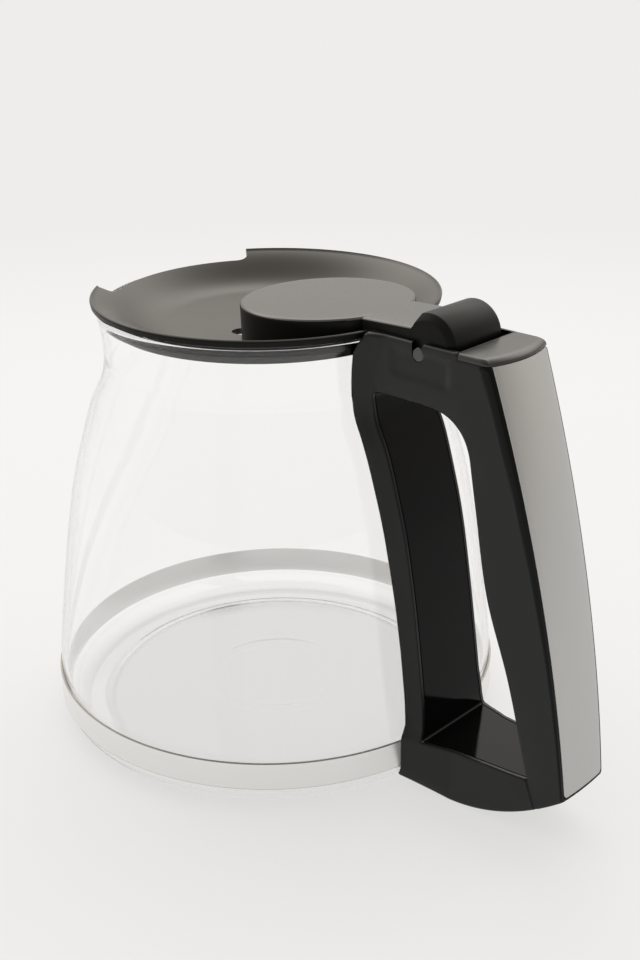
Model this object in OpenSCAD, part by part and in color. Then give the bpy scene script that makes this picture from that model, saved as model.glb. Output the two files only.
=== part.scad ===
// Coffee server carafe: a blown glass jug with a steel base band, a moulded loop handle
// with a steel back plate, and a dished lid that tips up on two snap-in pivots.
// The handle points along +X, the jug stands on z = 0 and its axis is the Z axis.

/* [Glass jug] */
// Height of the glass from the table to the top of its rim
glass_h = 136.5; // [125:0.5:150]
// Outside diameter at the belly, where the steel band sits
belly_d = 144.6; // [136:0.2:156]
// Outside diameter at the narrowest part of the neck
neck_d = 101.6; // [98:0.2:103]
// Depth of the narrowest part of the neck below the rim
neck_drop = 15.5; // [12:0.5:20]
// How far the rim flares out from the neck
rim_flare = 1.4; // [1:0.1:2]
// Thickness of the blown wall
wall = 1.8; // [1.2:0.1:2.4]
// Thickness of the fire-polished bead round the rim
bead = 2.6; // [2:0.1:3]
// Outside radius of the corner between base and side
base_corner = 8; // [6:0.5:10]
// Width of the flat ring that the jug stands on
rest_w = 5; // [3:0.5:8]
// Height of the push-up inside that ring
push_up = 2.6; // [1.5:0.1:4]
// Diameter of the mould ring in the middle of the base
mould_ring_d = 44; // [30:1:60]

/* [Steel band] */
// Height of the band
band_h = 9; // [7:0.5:10]
// Height of the band's lower edge above the table
band_z = 7.5; // [7:0.5:9]
// Thickness of the band's sheet
band_t = 0.6; // [0.4:0.1:0.8]
// Length of the two turned-out tabs
tab_len = 10; // [8:0.5:12]
// Gap between the two tabs before they are pulled up
tab_gap = 3; // [2:0.2:4]
// Diameter of the clamp screw's shank
clamp_d = 3; // [2.5:0.5:3.5]

/* [Handle] */
// Width of the handle at the hinge and round the finger window
handle_w = 27; // [26:0.5:32]
// Width that the handle tapers to at its heel
heel_w = 19.8; // [17:0.2:24]
// How far the two edges that hug the glass flare out past the handle's sides
flare_w = 1.9; // [1.2:0.1:2.4]
// Thickness of these two flared edges
flare_t = 2.4; // [1.8:0.1:2.8]
// Height of the handle's flat top above the glass rim
handle_over = 4.2; // [3.5:0.1:5]
// How far the back of the heel stands out from the belly
heel_reach = 51.7; // [46:0.1:58]
// Height of the back of the heel
heel_z = 16.3; // [14:0.1:20]
// Distance from the hinge axis to the back of the handle's top
top_back = 23.6; // [22:0.1:26]
// How far the back bows out from a straight line
back_bow = 3.8; // [0:0.2:6]
// Thickness of the strip that hugs the glass
strip_t = 4.2; // [3.5:0.1:6]
// Height of the handle's top above the finger window
arch_h = 17.3; // [17:0.1:20]
// Height of the finger window's floor at the glass side
window_floor = 17.8; // [16.5:0.1:20]
// Lowest point of the foot above the table
foot_lift = 1.3; // [0.8:0.1:2]
// Rounding of the handle's long edges
edge_r = 1.2; // [0.6:0.1:1.6]
// Depth of the grip's rounded back edges at the top
grip_r = 3.2; // [2.4:0.1:4]
// Width of the grip's back at the top, between those edges
back_w = 25.2; // [23:0.1:25.6]
// How far the back bulges out between its edges at the top
back_bulge = 2.5; // [0.5:0.1:3]
// Thickness of the cap that closes the handle's top
cap_t = 1.7; // [1.4:0.1:2.6]

/* [Steel back plate] */
// Thickness of the plate from front to back
plate_t = 0.8; // [0.5:0.1:1.2]
// Height of the plate's lower edge above the heel
plate_lift = 0.9; // [0.6:0.1:4]
// Width of the black rim left on each side of the plate
plate_rim = 0.4; // [0.3:0.1:0.8]
// Groove left round the plate
plate_gap = 0.2; // [0.15:0.05:0.4]

/* [Lid] */
// How far the dished lid stands out past the glass rim
lid_past = 1.7; // [1.4:0.1:2]
// Height of the lid's rim above the glass rim
lid_over = 3.6; // [3.2:0.1:3.9]
// Depth of the dish below its rim
dish_depth = 9.1; // [8:0.1:10]
// Thickness of the moulded lid
lid_t = 1.8; // [1.4:0.1:2]
// How far the lid is cut back inside the glass rim to let the coffee pour
pour_back = 4.2; // [3.2:0.1:4.6]
// Half of the angle that the pour cut-back spans
pour_angle = 36.8; // [25:0.2:42]
// Gap between the skirt under the lid and the narrowest glass
skirt_gap = 1.5; // [1:0.1:2.5]
// Depth of the skirt's lower edge below the lid's rim
skirt_drop = 8.3; // [7.8:0.1:9]
// Distance of the round hub from the lid's rim, on the hinge side; it reaches to the lid's middle
hub_edge = 1.9; // [1.5:0.1:8]
// Height of the hub's middle above the lid's rim
hub_over = 2.2; // [1.8:0.1:3]
// Slope of the hub's and lever's top towards the hinge, in degrees
lever_slope = 2.3; // [0:0.1:3]
// Wall of the hollow hub
hub_wall = 2; // [1.6:0.1:2.6]

/* [Hinge] */
// Distance from the glass rim out to the hinge axis
hinge_out = 19.3; // [19:0.1:20]
// Depth of the hinge axis below the handle's top
hinge_drop = 3.4; // [3.2:0.1:3.8]
// Diameter of the two snap-in pivots
pivot_d = 4; // [3.4:0.1:4.2]
// Radial play of a pivot in its seat
pivot_play = 0.06; // [0.03:0.01:0.1]
// Wall of the two ears that the pivots snap into
ear_t = 1.6; // [1.4:0.1:2]
// Side clearance between lever and ears
side_gap = 0.3; // [0.2:0.05:0.5]
// Radius of the thumb barrel
thumb_r = 8.9; // [8:0.1:9.2]
// Angle that the lid opens to, in degrees
lid_open = 65; // [40:1:70]

/* [Hidden] */
$fn = 96;

// Overrun of every cut past the face that it opens
over = 1;
// Clearance between fixed pieces with curved faces, and round the glass
fit_gap = 0.15;
glass_gap = 0.4;
// Radii of the diameters above
belly_r = belly_d / 2;
neck_r = neck_d / 2;
rim_r = neck_r + rim_flare;
lid_r = rim_r + lid_past;
pour_r = rim_r - pour_back;
skirt_r = neck_r - wall - skirt_gap;
hub_r = (lid_r - hub_edge) / 2;
// Heights above the table, and distances from the jug's axis
neck_z = glass_h - neck_drop;
handle_h = glass_h + handle_over;
window_top = handle_h - arch_h;
lid_h = glass_h + lid_over;
skirt_z = lid_h - skirt_drop;
hub_h = lid_h + hub_over;
hinge_x = rim_r + hinge_out;
hinge_z = handle_h - hinge_drop;
top_back_x = hinge_x + top_back;
heel_x = belly_r + heel_reach;

// Quadratic and cubic curves, an arc and a smooth curve through points
function curve2(a, b, c, n) = [for (i = [0:n]) let (t = i / n)
  (1 - t) * (1 - t) * a + 2 * t * (1 - t) * b + t * t * c];
function curve3(a, b, c, d, n) = [for (i = [0:n]) let (t = i / n, s = 1 - t)
  s * s * s * a + 3 * s * s * t * b + 3 * s * t * t * c + t * t * t * d];
function arc(mid, r, from, to, n) = [for (i = [0:n]) let (a = from + (to - from) * i / n)
  mid + r * [cos(a), sin(a)]];
function knot(p, i) = p[min(max(i, 0), len(p) - 1)];
function through(p, n) = concat([for (i = [0:len(p) - 2]) for (j = [0:n - 1])
  let (t = j / n, a = knot(p, i - 1), b = p[i], c = p[i + 1], d = knot(p, i + 2))
  b + t * (c - a) / 2 + t * t * (a - 2.5 * b + 2 * c - d / 2)
  + t * t * t * (1.5 * (b - c) + (d - a) / 2)], [p[len(p) - 1]]);
function unit(v) = v / norm(v);
function turned(p) = [for (i = [len(p) - 1:-1:0]) p[i]];
// Points moved to the left of their path, by one length or by one for each point
function beside(p, d) = [for (i = [0:len(p) - 1])
  let (t = unit(knot(p, i + 1) - knot(p, i - 1))) p[i] + d * [-t.y, t.x]];

// Glass profile
band_top = band_z + band_h;
seat_top = band_top + fit_gap * 4;
// Shares of the way from the band's seat up to the neck, and of the way out to the belly
side_shares = [[0, 1], [0.07, 0.985], [0.24, 0.88], [0.42, 0.755], [0.61, 0.59], [0.75, 0.41],
  [0.86, 0.24], [0.94, 0.06], [1, 0]];
side_knots = [for (s = side_shares)
  [neck_r + s[1] * (belly_r - neck_r), seat_top + s[0] * (neck_z - seat_top)]];
side_curve = through(side_knots, 3);
rest_out = belly_r - base_corner;
rest_in = rest_out - rest_w;
ring_r = mould_ring_d / 2;
ring_w = wall;
ring_deep = push_up / 4;
base_under = concat(
  [[0, push_up], [ring_r - ring_w, push_up], [ring_r, push_up + ring_deep],
    [ring_r + ring_w, push_up]],
  curve3([rest_in - 3 * push_up, push_up], [rest_in - push_up, push_up], [rest_in - push_up, 0],
    [rest_in, 0], 6));
corner_curve = arc([rest_out, base_corner], base_corner, -90, 0, 8);
rim_curve = curve2([neck_r, neck_z], [neck_r, (neck_z + glass_h) / 2],
  [rim_r, glass_h - bead / 2], 6);
glass_side = concat(corner_curve, side_curve, [for (i = [1:len(rim_curve) - 1]) rim_curve[i]]);
glass_under = concat(base_under, glass_side);
glass_last = len(glass_under) - 1;
glass_inside = turned(beside(glass_under, wall));
bead_curve = arc([rim_r - bead / 2, glass_h - bead / 2], bead / 2, 0, 180, 8);
glass_shape = concat([for (i = [0:glass_last - 1]) glass_under[i]], bead_curve,
  [for (i = [1:glass_last]) glass_inside[i]]);

module glass_body() {
  color([0.86, 0.9, 0.88, 0.35]) rotate_extrude() polygon(glass_shape);
}

// A solid as large as the glass and its clearance, to hollow what hugs it
module glass_room() {
  room = beside(glass_side, -glass_gap);
  rotate_extrude() polygon(concat([[0, -over]], [[rest_out, -over], [rest_out, -glass_gap]], room,
    [[rim_r + glass_gap, glass_h + glass_gap], [0, glass_h + glass_gap]]));
}

// Steel band, clamp screw and nut
band_in = belly_r + fit_gap / 2;
band_out = band_in + band_t;
tab_z = band_z + band_h / 2;
clamp_x = band_out + tab_len * 0.6;
tab_slack = 0.4;
slot_half = tab_gap / 2 + band_t + tab_slack;
nut_flat = clamp_d * 1.83;
nut_t = clamp_d * 0.8;
head_d = clamp_d * 1.85;
head_t = clamp_d * 0.7;
head_y = slot_half + clamp_d * 1.6;
clamp_len = head_y + slot_half + nut_t + clamp_d / 2;
clamp_play = 0.2;

module tube(r_out, r_in, z, h) {
  translate([0, 0, z]) difference() {
    cylinder(h = h, r = r_out);
    translate([0, 0, -over]) cylinder(h = h + 2 * over, r = r_in);
  }
}

// A box by its two corners
module block(a, b) {
  translate(a) cube(b - a);
}

module base_band() {
  tab_out = band_out + tab_len;
  color([0.78, 0.77, 0.75]) difference() {
    union() {
      difference() {
        tube(band_out, band_in, band_z, band_h);
        block([0, -tab_gap / 2, band_z - over], [tab_out, tab_gap / 2, band_top + over]);
      }
      for (side = [0, 1]) mirror([0, side, 0]) {
        block([band_in - fit_gap, tab_gap / 2, band_z], [tab_out, tab_gap / 2 + band_t, band_top]);
      }
    }
    translate([0, 0, band_z - over]) cylinder(h = band_h + 2 * over, r = band_in);
    translate([clamp_x, 0, tab_z]) rotate([90, 0, 0])
      cylinder(h = 4 * tab_gap, r = clamp_d / 2 + clamp_play, center = true);
  }
}

module band_screw() {
  socket_d = clamp_d * 0.8;
  color([0.7, 0.7, 0.68]) difference() {
    translate([clamp_x, head_y - clamp_len, tab_z]) rotate([-90, 0, 0]) {
      cylinder(h = clamp_len, r = clamp_d / 2);
      translate([0, 0, clamp_len]) cylinder(h = head_t, r = head_d / 2);
    }
    translate([clamp_x, head_y + head_t / 2, tab_z]) rotate([-90, 0, 0])
      cylinder(h = head_t, r = socket_d / 2, $fn = 6);
  }
}

module band_nut() {
  color([0.66, 0.66, 0.64]) difference() {
    translate([clamp_x, -slot_half, tab_z]) rotate([90, 0, 0])
      cylinder(h = nut_t, r = nut_flat / sqrt(3), $fn = 6);
    translate([clamp_x, -slot_half + over, tab_z]) rotate([90, 0, 0])
      cylinder(h = nut_t + 2 * over, r = clamp_d / 2 + pivot_play);
  }
}

// Handle outlines, seen from the side as [x, z]
grip_top = handle_h - cap_t;
// Shares of the heel's distance and of the handle's height, down the grip's finger side
grip_shares = [[0.735, 0.785], [0.754, 0.687], [0.79, 0.514], [0.855, 0.34], [0.914, 0.134]];
arch_shares = [0.598, 0.709];
function on_handle(s) = [s[0] * heel_x, s[1] * handle_h];
grip_line = through([for (s = grip_shares) on_handle(s)], 5);
grip_line_up = [for (i = [len(grip_line) - 1:-1:1]) grip_line[i]];
foot_share = 0.694;
foot_turn_share = 0.847;
foot_curve = curve2([foot_share * heel_x, foot_lift], [foot_turn_share * heel_x, foot_lift],
  [heel_x, heel_z], 18);
seam_low = foot_curve[14];
arch_from = [arch_shares[0] * heel_x, window_top];
arch_turn = [arch_shares[1] * heel_x, window_top];
arch_curve = curve2(arch_from, arch_turn, grip_line[0], 10);

// Edges of the handle's back, bowed between the top and the heel, and how the back bulges
grip_fall = grip_top - heel_z;
low_bulge = back_bulge / 6;
function fall(z) = (grip_top - z) / grip_fall;
function back_x(z) = let (s = fall(z))
  top_back_x + s * (heel_x - top_back_x) + 4 * back_bow * s * (1 - s);
function back_half(z) = (back_w + fall(z) * (heel_w - back_w)) / 2;
function bulged(z, y) = back_x(z) + (back_bulge + fall(z) * (low_bulge - back_bulge))
  * (1 - (y / back_half(z)) * (y / back_half(z)));

// Thumb barrel, its swing and the pocket between the ears
thumb_dx = thumb_r * 0.2;
thumb_dz = thumb_r * 0.27;
thumb_x = hinge_x + thumb_dx;
thumb_z = hinge_z + thumb_dz;
thumb_reach = norm([thumb_dx, thumb_dz]) + thumb_r;
pocket_gap = 2 * side_gap;
pocket_back = hinge_x + thumb_reach + 2 * pocket_gap;
pocket_half = handle_w / 2 - ear_t;
lever_half = pocket_half - side_gap;
cap_front = pocket_back + side_gap;
swing_low = hinge_z - (thumb_dx + thumb_r) * sin(lid_open) + thumb_dz * cos(lid_open);
pocket_floor = swing_low - pocket_gap;
knuckle_r = pivot_d * 1.3;
arm_low = handle_h - 1.5 * edge_r;

// The window's outline, counter-clockwise
corner_r = strip_t * 0.7;
strip_curve = [for (p = side_curve)
  if (p.y > window_floor + corner_r && p.y < window_top - corner_r) p + [strip_t, 0]];
strip_low = [strip_curve[0].x, window_floor];
strip_high = [strip_curve[len(strip_curve) - 1].x, window_top];
window_shape = concat(
  curve2(strip_low + [0, corner_r], strip_low, strip_low + [corner_r, 0], 4),
  grip_line_up, turned(arch_curve),
  curve2(strip_high + [corner_r, 0], strip_high, strip_high - [0, corner_r], 4),
  turned(strip_curve));

// The handle's outer outline, counter-clockwise; its front is cut later to fit the glass
ear_front = lid_r + 1.5 * side_gap;
front_low = neck_r - ear_t;
ear_bevel = 9;
handle_shape = concat(
  [[rest_out, base_corner], [rest_out, foot_lift]], foot_curve,
  [[top_back_x, grip_top], [top_back_x, handle_h], [ear_front, handle_h],
    [front_low, handle_h - ear_bevel], [front_low, neck_z - ear_bevel / 2]]);

// Where the frame ends and the grip shell begins, from the top down
seam_x = cap_front + edge_r;
arch_right = [for (p = arch_curve) if (p.x > seam_x) p];
seam_line = concat([[seam_x, grip_top]], arch_right,
  [for (i = [1:len(grip_line) - 1]) grip_line[i]], [seam_low]);
seam_fall = grip_top - seam_low.y;

// Extrusion of a side outline, centred on the handle's middle plane
module slab(points, w) {
  rotate([90, 0, 0]) linear_extrude(height = w, center = true) polygon(points);
}

// Half width of the handle, which tapers from behind the hinge to the heel
side_slope = (handle_w - heel_w) / 2 / (heel_x - cap_front);
function side_half(x) = handle_w / 2 - max(0, x - cap_front) * side_slope;

// The handle's blank: its outline, tapered, with the two long edges of the top rounded
module handle_blank() {
  half = handle_w / 2;
  wide = half + cap_front * side_slope;
  low = heel_w / 2;
  intersection() {
    slab(handle_shape, handle_w);
    linear_extrude(height = 2 * handle_h)
      polygon([[0, -wide], [heel_x, -low], [heel_x, low], [0, wide]]);
    rotate([90, 0, 90]) linear_extrude(height = 2 * heel_x) polygon(concat([[-half, 0], [half, 0]],
      arc([half - edge_r, handle_h - edge_r], edge_r, 0, 90, 5),
      arc([edge_r - half, handle_h - edge_r], edge_r, 90, 180, 5)));
  }
}

// Band groove, tab slot, clamp screw hole and nut trap in the foot
module clamp_room() {
  groove = fit_gap;
  tube(band_out + groove, rest_out, band_z - groove, band_h + 2 * groove);
  block([rest_in, -slot_half, band_z - groove],
    [band_out + tab_len + tab_slack, slot_half, band_top + groove]);
  translate([clamp_x, 0, tab_z]) rotate([-90, 0, 0]) {
    translate([0, 0, head_y - clamp_len - clamp_d / 2])
      cylinder(h = clamp_len + clamp_d, r = clamp_d / 2 + clamp_play);
    translate([0, 0, head_y]) cylinder(h = handle_w, r = head_d / 2 + clamp_play);
    translate([0, 0, -slot_half - nut_t - fit_gap])
      cylinder(h = nut_t + fit_gap + over, r = (nut_flat + fit_gap) / sqrt(3), $fn = 6);
  }
  block([rest_in, -slot_half - nut_t - fit_gap, tab_z - nut_flat / 2 - fit_gap],
    [clamp_x, 0, tab_z + nut_flat / 2 + fit_gap]);
}

// Wrap of the foot round the band, and the flared edges that hug the glass above and below it
module glass_flare() {
  wide = handle_w + 2 * flare_w;
  rim = 1.4;
  intersection() {
    tube(band_out + flare_w, rest_out, band_z - rim, band_h + 2 * rim);
    block([0, -wide / 2, 0], [heel_x, wide / 2, handle_h]);
  }
  intersection() {
    rotate_extrude() polygon(concat(beside(glass_side, -glass_gap - flare_t),
      turned(beside(glass_side, wall))));
    slab(handle_shape, wide);
  }
}

// Hook over the glass rim, and the room that the lid leaves for it
hook_t = 1.1;
hook_w = 10;
hook_x = rim_r - bead - fit_gap - hook_t - hook_t / 4;
hook_z = glass_h + glass_gap;
hook_deep = 3.2;
hook_room_gap = 0.5;

module rim_hook() {
  block([hook_x, -hook_w / 2, glass_h - hook_deep], [hook_x + hook_t, hook_w / 2, hook_z + hook_t]);
  block([hook_x, -hook_w / 2, hook_z], [ear_front + ear_t, hook_w / 2, hook_z + hook_t]);
}

module hook_room() {
  block([hook_x - hook_room_gap, -hook_w / 2 - hook_room_gap, skirt_z - over],
    [hinge_x, hook_w / 2 + hook_room_gap, hook_z + hook_t + hook_room_gap]);
}

// Room for the lever between the ears, with the thumb barrel's swing behind the hinge
module lever_pocket() {
  block([0, -pocket_half, arm_low - side_gap], [pocket_back, pocket_half, handle_h + over]);
  translate([hinge_x, 0, hinge_z]) rotate([90, 0, 0])
    cylinder(h = 2 * pocket_half, r = knuckle_r + side_gap, center = true);
  intersection() {
    translate([hinge_x, 0, hinge_z]) rotate([90, 0, 0])
      cylinder(h = 2 * pocket_half, r = thumb_reach + pocket_gap, center = true);
    block([hinge_x, -pocket_half, pocket_floor], [pocket_back, pocket_half, handle_h + over]);
  }
}

// Keyhole through both ears: a round seat, a snap throat and a flared mouth
module pivot_keyhole() {
  throat = pivot_d * 0.43;
  mouth = pivot_d * 0.7;
  throat_top = (hinge_z + pivot_d / 2 + handle_h) / 2;
  translate([hinge_x, 0, hinge_z]) rotate([90, 0, 0])
    cylinder(h = handle_w + 2 * over, r = pivot_d / 2 + pivot_play, center = true);
  slab([[hinge_x - throat, hinge_z], [hinge_x + throat, hinge_z], [hinge_x + throat, throat_top],
    [hinge_x + mouth, handle_h + over], [hinge_x - mouth, handle_h + over],
    [hinge_x - throat, throat_top]], handle_w + 2 * over);
}

// Grip screw, and the tongue that locates the grip shell in the foot
screw_d = 2.5;
screw_z = (window_top + pocket_floor) / 2;
screw_bite = 9;
screw_in = seam_x - screw_bite;
screw_cover = 3;
screw_head_x = seam_x + screw_cover;
screw_head_d = screw_d * 1.9;
screw_head_t = screw_d * 0.7;
tongue_t = 2.4;
tongue_len = 6;
tongue_w = handle_w * 0.6;
tongue_z = seam_low.y + tongue_t * 0.7;

module tongue(gap) {
  block([seam_low.x - tongue_len - gap, -tongue_w / 2 - gap, tongue_z - gap],
    [seam_low.x + edge_r, tongue_w / 2 + gap, tongue_z + tongue_t + gap]);
}

// Room for the grip screw, from its tip out to the handle's back
module grip_screw_room() {
  translate([screw_in - over, 0, screw_z]) rotate([0, 90, 0])
    cylinder(h = 2 * heel_x, r = screw_d / 2 + pivot_play);
  translate([screw_head_x, 0, screw_z]) rotate([0, 90, 0])
    cylinder(h = heel_x, r = screw_head_d / 2 + clamp_play);
}

module handle_frame() {
  color([0.13, 0.13, 0.13]) union() {
    difference() {
      union() {
        handle_blank();
        glass_flare();
      }
      slab(window_shape, handle_w + 2 * over);
      slab(concat(seam_line, [seam_low + [edge_r, -edge_r] * 4, [heel_x * 1.1, -over],
        [heel_x * 1.1, handle_h + over], [cap_front, handle_h + over], [cap_front, grip_top]]),
        handle_w + 2 * over);
      glass_room();
      translate([0, 0, glass_h]) cylinder(h = handle_h, r = ear_front);
      clamp_room();
      lever_pocket();
      pivot_keyhole();
      tongue(fit_gap);
      grip_screw_room();
    }
    rim_hook();
  }
}

// A closed body through rings of points, each ring with as many as the next
module swept(rings) {
  n = len(rings[0]);
  last = len(rings) - 1;
  sides = [for (k = [0:last - 1]) for (i = [0:n - 1]) let (j = (i + 1) % n)
    each [[k * n + i, k * n + j, (k + 1) * n + i], [k * n + j, (k + 1) * n + j, (k + 1) * n + i]]];
  polyhedron([for (ring = rings) for (p = ring) p],
    concat([[for (i = [n - 1:-1:0]) i]], sides, [[for (i = [0:n - 1]) last * n + i]]));
}

// Steel back plate, and the same with its groove to sink it into the grip
plate_proud = 0.25;
plate_top = grip_top - fit_gap;
plate_low = heel_z + plate_lift;
plate_steps = 16;
plate_back = 4;
bulge_steps = 4;

// A body as wide as the plate and a margin, between two distances out from the bulged back
module back_slab(near, far, margin) {
  top = plate_top + 2 * margin;
  low = plate_low - margin;
  corner = plate_t;
  heights = concat([top], [for (i = [1:plate_steps]) top - (top - low - corner) * i / plate_steps],
    [low]);
  function ring(z, cut) = let (half = back_half(z) - plate_rim - plate_gap + margin - cut)
    concat([for (k = [-bulge_steps:bulge_steps]) let (y = half * k / bulge_steps)
      [bulged(z, y) + far, y, z]],
    [for (k = [bulge_steps:-1:-bulge_steps]) let (y = half * k / bulge_steps)
      [bulged(z, y) + near, y, z]]);
  swept([for (z = heights) ring(z, z == low ? corner : 0)]);
}

// Grip shell: rounded sections swept between the seam line and the bowed back
corner_deep = grip_r / 4;
front_steps = 3;
corner_steps = 5;

// Right part of a section, from the middle of its bulged back round to its front corner
function back_ring(z, deep, half_front, rf) = let (
    half = back_half(z),
    ry = corner_deep * (1 - fall(z) / 2),
    rx = grip_r * (1 - fall(z) / 2))
  concat([for (k = [0:bulge_steps - 1]) let (y = half * k / bulge_steps)
      [deep + bulged(z, y) - back_x(z), y]],
    [for (i = [0:corner_steps]) let (a = 90 * i / corner_steps)
      [deep - rx + rx * cos(a), half + ry * sin(a)]],
    arc([rf, half_front - rf], rf, 90, 180, front_steps));
function mirrored(ring) = concat([for (i = [len(ring) - 1:-1:1]) [ring[i].x, -ring[i].y]], ring);

function grip_section(i) = let (
    f = seam_line[i],
    z = grip_top - (grip_top - f.y) / seam_fall * grip_fall,
    b = [back_x(z), z],
    deep = norm(b - f),
    dir = (b - f) / deep,
    rf = f.y > window_top - edge_r ? pivot_play : edge_r)
  [for (p = mirrored(back_ring(z, deep, side_half(f.x), rf)))
    [f.x + dir.x * p.x, p.y, f.y + dir.y * p.x]];

module grip_shell() {
  color([0.15, 0.15, 0.15]) difference() {
    union() {
      swept([for (i = [0:len(seam_line) - 1]) grip_section(i)]);
      tongue(0);
    }
    back_slab(plate_proud - plate_t - plate_gap / 2, plate_back, plate_gap);
    grip_screw_room();
  }
}

module grip_screw() {
  slot_w = screw_d * 0.3;
  color([0.7, 0.7, 0.68]) difference() {
    translate([screw_in, 0, screw_z]) rotate([0, 90, 0]) {
      cylinder(h = screw_head_x - screw_in, r = screw_d / 2);
      translate([0, 0, screw_head_x - screw_in]) cylinder(h = screw_head_t, r = screw_head_d / 2);
    }
    for (turn = [0, 90]) translate([screw_head_x + screw_head_t, 0, screw_z]) rotate([turn, 0, 0])
      cube([screw_head_t, screw_head_d * 0.6, slot_w], center = true);
  }
}

module trim_plate() {
  color([0.68, 0.67, 0.64]) intersection() {
    back_slab(-plate_back, plate_proud, 0);
    back_slab(plate_proud - plate_t, plate_back, over);
  }
}

// Cap: the outline of the grip's top, drawn in as its edge rounds over
module top_cap() {
  steps = 6;
  deep = top_back_x - cap_front;
  outline = mirrored(back_ring(grip_top, deep, handle_w / 2, pivot_play));
  function ring(a) = let (s = 1 - cap_t * (1 - cos(a)) / deep)
    [for (p = outline) [cap_front + s * p.x, s * p.y, grip_top + cap_t * sin(a)]];
  color([0.2, 0.2, 0.19]) swept([for (i = [steps:-1:0]) ring(90 * i / steps)]);
}

// Lid dish: its upper surface as [r, z] from the middle to the rim
dish_z = lid_h - dish_depth;
skirt_t = 1.8;
skirt_in = skirt_r - skirt_t;
dish_ease = 16;
dish_turn = 4.7;
dish_top = concat([[0, dish_z]], curve3([skirt_in - dish_ease, dish_z],
  [skirt_in - dish_turn, dish_z], [skirt_in - skirt_t, lid_h - dish_depth * 0.32],
  [lid_r, lid_h], 12));
dish_under = beside(dish_top, -lid_t);
dish_low = concat([for (i = [0:len(dish_under) - 2]) dish_under[i]], [[lid_r, lid_h - lid_t]]);
skirt_tall = 2.6;
skirt_top = skirt_z + skirt_tall;
hub_x = hub_r;
drain_r = 3.3;
drain_a = 35;

// Outline of the piece cut from the rim where the coffee pours out
module pour_cut() {
  round_r = 3;
  far = lid_r + over;
  swing = atan(1.5 * round_r / pour_r);
  function at(r, a) = [-r * cos(a), r * sin(a)];
  edge = [for (i = [0:12]) at(pour_r, -pour_angle + swing + (pour_angle - swing) * i / 6)];
  first = curve2(at(pour_r + round_r, -pour_angle), at(pour_r, -pour_angle), edge[0], 4);
  final = curve2(edge[12], at(pour_r, pour_angle), at(pour_r + round_r, pour_angle), 4);
  wide = [for (a = [pour_angle:-pour_angle / 4:-pour_angle]) at(far * 1.1, a)];
  translate([0, 0, dish_z]) linear_extrude(height = dish_depth + over)
    polygon(concat(first, edge, final, wide));
}

module lid_dish() {
  color([0.38, 0.37, 0.35]) difference() {
    union() {
      rotate_extrude() polygon(concat(dish_top, turned(dish_low)));
      tube(skirt_r - fit_gap, skirt_in, skirt_top, lid_t);
    }
    pour_cut();
    hook_room();
    block([hook_x - hook_room_gap, -lever_half - fit_gap, arm_low - fit_gap],
      [hinge_x, lever_half + fit_gap, handle_h]);
    for (side = [-1, 1]) {
      translate([hub_x - hub_r * cos(drain_a), side * hub_r * sin(drain_a), dish_z - 2 * lid_t])
        cylinder(h = 3 * lid_t, r = drain_r);
    }
  }
}

module lid_skirt() {
  color([0.14, 0.14, 0.14]) tube(skirt_r, skirt_in, skirt_z, skirt_tall);
}

// Lever: hollow hub, arm, thumb barrel, knuckle and two snap-in pivots in one moulding
module lid_lever() {
  soft = 0.9;
  hub_deep = 3 * dish_depth;
  arm_from = hub_r - hub_wall;
  tip = pivot_d * 0.12;
  color([0.3, 0.3, 0.29]) difference() {
    union() {
      translate([hub_x, 0, hub_h]) rotate([0, -lever_slope, 0]) {
        rotate_extrude() polygon(concat([[0, 0]],
          arc([hub_r - soft, -soft], soft, 90, 0, 5),
          [[hub_r, -hub_deep], [hub_r - hub_wall, -hub_deep], [hub_r - hub_wall, -hub_wall],
            [0, -hub_wall]]));
        rotate([90, 0, 90]) translate([0, 0, arm_from]) linear_extrude(height = hinge_x - hub_x
          - arm_from + thumb_dx) polygon(concat([[-lever_half, -3 * hub_wall]],
          [[lever_half, -3 * hub_wall]], arc([lever_half - soft, -soft], soft, 0, 90, 5),
          arc([soft - lever_half, -soft], soft, 90, 180, 5)));
      }
      intersection() {
        thumb_barrel();
        slab([[thumb_x - thumb_r * 0.84, thumb_z], [thumb_x + 2 * thumb_r, thumb_z],
          [thumb_x + 2 * thumb_r, thumb_z + 2 * thumb_r],
          [thumb_x + thumb_r * 0.22, thumb_z + 2 * thumb_r]], handle_w);
      }
    }
    block([hub_x + arm_from, -handle_w, 0], [heel_x, handle_w, arm_low]);
    hook_room();
    dish_room();
    for (side = [-1, 1]) {
      translate([hub_x, 0, dish_z]) rotate([0, 0, 180 + side * drain_a])
        block([0, -drain_r, -over], [hub_r + over, drain_r, drain_r * 0.8]);
    }
  }
  color([0.3, 0.3, 0.29]) translate([hinge_x, 0, hinge_z]) rotate([90, 0, 0]) {
    cylinder(h = 2 * lever_half, r = knuckle_r, center = true);
    translate([0, 0, tip - handle_w / 2]) cylinder(h = handle_w - 2 * tip, r = pivot_d / 2);
  }
}

// Barrel with bevelled ends
module thumb_barrel() {
  half = lever_half - side_gap;
  bevel = 1.4;
  translate([thumb_x, 0, thumb_z]) rotate([90, 0, 0]) rotate_extrude()
    polygon([[0, -half], [thumb_r - bevel, -half], [thumb_r, bevel - half],
      [thumb_r, half - bevel], [thumb_r - bevel, half], [0, half]]);
}

// All below the dish's upper surface, to seat the hub on it
module dish_room() {
  rotate_extrude() polygon(concat([[0, 0]], [[lid_r, 0]],
    turned(beside(dish_top, fit_gap / 2))));
}

glass_body();
base_band();
band_screw();
band_nut();
handle_frame();
grip_shell();
grip_screw();
trim_plate();
top_cap();
lid_dish();
lid_skirt();
lid_lever();
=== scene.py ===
import bpy
import bmesh
import numpy as np
from math import acos, atan, ceil, comb, cos, degrees, dist, hypot, pi, radians, sin, sqrt
from mathutils import Matrix, Vector
from mathutils.geometry import delaunay_2d_cdt


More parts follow.
